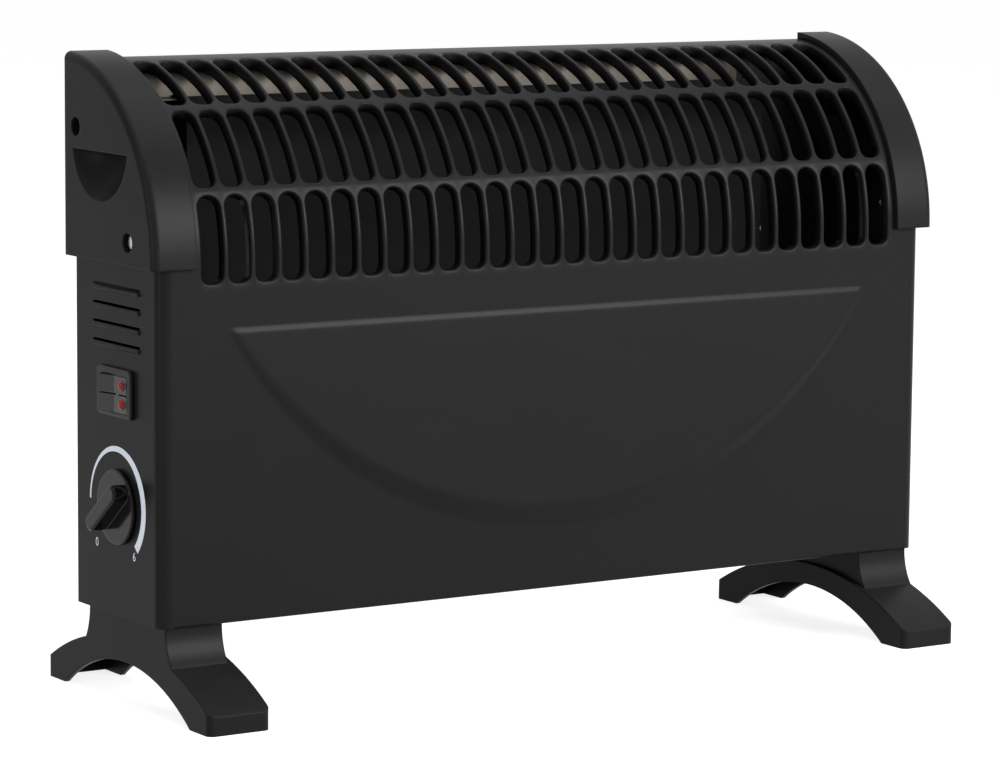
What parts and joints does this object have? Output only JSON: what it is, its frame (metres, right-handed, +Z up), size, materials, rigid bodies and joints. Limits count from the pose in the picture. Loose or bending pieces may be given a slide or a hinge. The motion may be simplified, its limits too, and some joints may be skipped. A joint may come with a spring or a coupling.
{
  "type": "convector heater",
  "caption": "Free-standing electric convector heater with a slotted roll-top casing, arched feet, moulded end caps, a rotary thermostat and rocker switches on its left end.",
  "frame": {"origin": "on the floor, at the middle of the casing's width and of the feet's depth", "axes": "+X along the casing to the viewer's right, away from the control end; +Y to the back; +Z up"},
  "size_m": [0.5363, 0.1914, 0.3598],
  "materials": {
    "casing_paint": "satin black powder coat with a fine texture",
    "dark_sheet": "dull dark grey sheet",
    "moulding": "satin black moulded plastic with a fine texture",
    "knob_plastic": "glossy black",
    "control_plastic": "satin black",
    "rocker_plastic": "semi-gloss black",
    "red_lens": "glossy translucent red",
    "galvanised": "dull zinc-coated sheet",
    "insulation": "matt mica and ceramic",
    "bright_steel": "bright zinc-plated steel",
    "brass_tab": "plain brass",
    "heating_wire": "dull resistance alloy"
  },
  "bodies": {
    "cabinet": {"air_deflector": "galvanised", "back_panel": "casing_paint", "back_screws": "bright_steel", "base_plate": "casing_paint", "cable_gland": "control_plastic", "ceramic_insulators": "insulation", "control_partition": "dark_sheet", "front_panel": "casing_paint", "heat_shield": "dark_sheet", "left_cap_screw": "bright_steel", "left_element_bracket": "galvanised", "left_end_cap": "moulding", "left_foot": "moulding", "left_foot_screws": "bright_steel", "left_side_panel": "casing_paint", "lower_winding": "heating_wire", "mica_board": "insulation", "right_cap_screw": "bright_steel", "right_element_bracket": "galvanised", "right_end_cap": "moulding", "right_foot": "moulding", "right_foot_screws": "bright_steel", "right_side_panel": "casing_paint", "rocker_pin": "bright_steel", "switch_bezel": "control_plastic", "switch_body": "control_plastic", "switch_tabs": "brass_tab", "terminal_block": "insulation", "thermal_cutout": "bright_steel", "thermostat_body": "control_plastic", "thermostat_tabs": "brass_tab", "upper_winding": "heating_wire"},
    "knob": {"thermostat_knob": "knob_plastic", "thermostat_spindle": "bright_steel"},
    "upper_rocker": {"upper_rocker": "rocker_plastic", "upper_lens": "red_lens"},
    "lower_rocker": {"lower_rocker": "rocker_plastic", "lower_lens": "red_lens"}
  },
  "joints": [
    {"name": "thermostat_turn", "type": "hinge", "parent": "cabinet", "child": "knob", "pos_m": [-0.259, -0.0012, 0.112], "axis": [1, 0, 0], "range_deg": [0, 260]},
    {"name": "upper_rocker_tip", "type": "hinge", "parent": "cabinet", "child": "upper_rocker", "pos_m": [-0.259, -0.001, 0.1802], "axis": [0, 0, -1], "range_deg": [0, 14]},
    {"name": "lower_rocker_tip", "type": "hinge", "parent": "cabinet", "child": "lower_rocker", "pos_m": [-0.259, -0.001, 0.1698], "axis": [0, 0, -1], "range_deg": [0, 14]}
  ]
}
